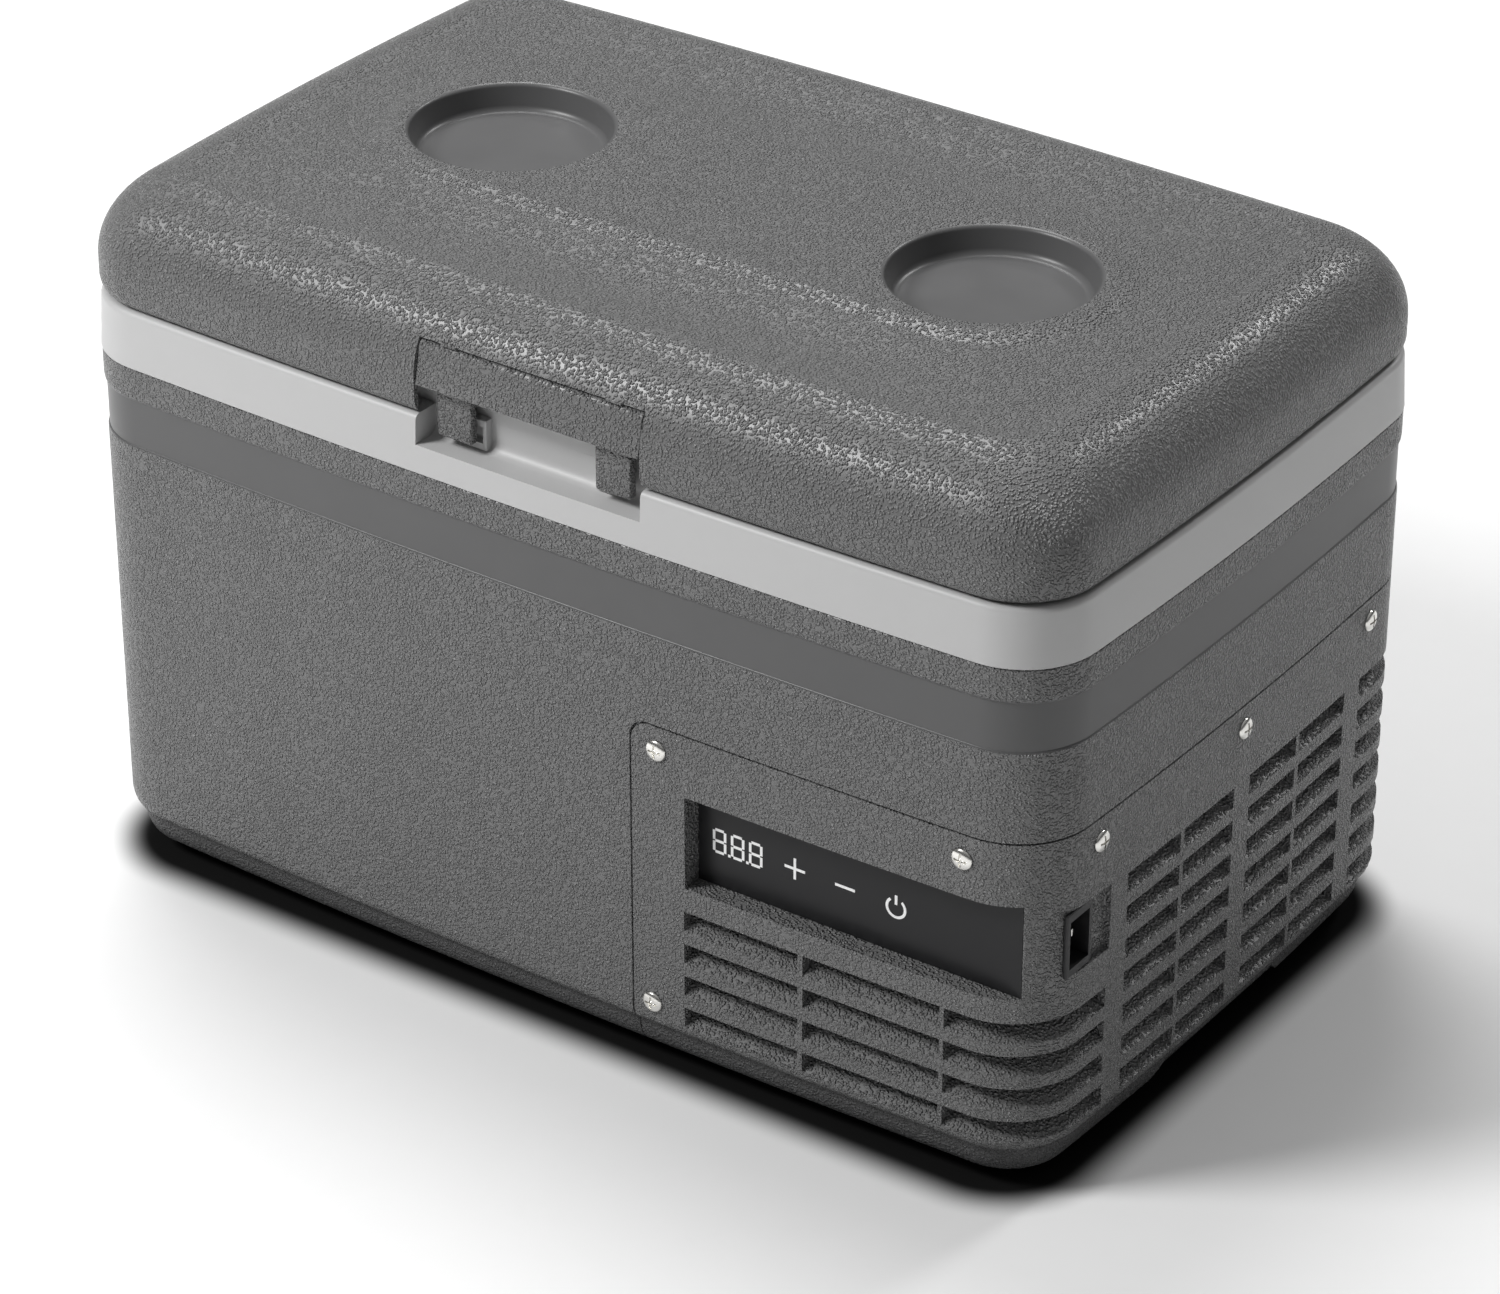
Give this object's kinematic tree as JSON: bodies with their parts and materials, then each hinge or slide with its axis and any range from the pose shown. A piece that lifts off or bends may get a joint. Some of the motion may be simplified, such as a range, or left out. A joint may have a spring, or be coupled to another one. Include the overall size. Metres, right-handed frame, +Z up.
{
  "type": "compressor cooler fridge",
  "caption": "Portable compressor cooler: stepped insulated tub, hinged lid with cup recesses, front latch, pale rim, and a louvred corner cover over the compressor bay.",
  "frame": {"origin": "on the floor under the middle of the body, level with the undersides of the feet", "axes": "+X along the long side towards the compressor bay, -Y to the front with latch and display, +Z up"},
  "size_m": [0.5714, 0.3522, 0.374],
  "materials": {
    "grained_dark": "leather grain",
    "pale_rim": "satin",
    "liner_grey": "smooth",
    "foam": "closed-cell foam",
    "lens_black": "smooth",
    "board_green": "lacquered",
    "socket_black": "satin",
    "bright_steel": "plated",
    "rubber": "matt",
    "black_paint": "satin",
    "copper": "drawn tube",
    "aluminium": "mill",
    "galvanised": "galvanised",
    "fan_black": "satin"
  },
  "bodies": {
    "base": {"base_plate": "galvanised", "bulkhead_panel": "galvanised", "capillary": "copper", "compressor": "black_paint", "compressor_cover": "grained_dark", "condenser": "aluminium", "control_board": "board_green", "control_lens": "lens_black", "control_module": "aluminium", "discharge_line": "copper", "evaporator_coil": "copper", "fan_frame": "fan_black", "filter_drier": "copper", "foot_left_back": "rubber", "foot_left_front": "rubber", "foot_right_back": "rubber", "foot_right_front": "rubber", "grommet_left_back": "rubber", "grommet_left_front": "rubber", "grommet_right_back": "rubber", "grommet_right_front": "rubber", "hinge_pin_left": "bright_steel", "hinge_pin_right": "bright_steel", "inlet_pin_1": "bright_steel", "inlet_pin_2": "bright_steel", "inlet_pin_3": "bright_steel", "inner_liner": "liner_grey", "insulation_foam": "foam", "liquid_line": "copper", "outer_shell": "grained_dark", "power_inlet": "socket_black", "rim_frame": "pale_rim", "screw_back_low_left": "bright_steel", "screw_back_top_left": "bright_steel", "screw_back_top_right": "bright_steel", "screw_end_far": "bright_steel", "screw_end_mid": "bright_steel", "screw_end_near": "bright_steel", "screw_front_low_left": "bright_steel", "screw_front_top_left": "bright_steel", "screw_front_top_right": "bright_steel", "suction_line": "copper"},
    "lid": {"lid_shell": "grained_dark", "lid_liner": "liner_grey", "lid_foam": "foam", "lid_gasket": "rubber", "latch_pin_left": "bright_steel", "latch_pin_right": "bright_steel"},
    "latch": {"latch": "grained_dark"},
    "fan": {"fan_rotor": "fan_black"}
  },
  "joints": [
    {"name": "lid_hinge", "type": "hinge", "parent": "base", "child": "lid", "pos_m": [0, 0.167, 0.3215], "axis": [-1, 0, 0], "range_deg": [0, 95]},
    {"name": "latch_hinge", "type": "hinge", "parent": "lid", "child": "latch", "pos_m": [0, -0.16645, 0.3465], "axis": [-1, 0, 0], "range_deg": [0, 75]},
    {"name": "fan_spin", "type": "hinge", "parent": "base", "child": "fan", "pos_m": [0.196, 0, 0.0713], "axis": [1, 0, 0], "continuous": true}
  ]
}
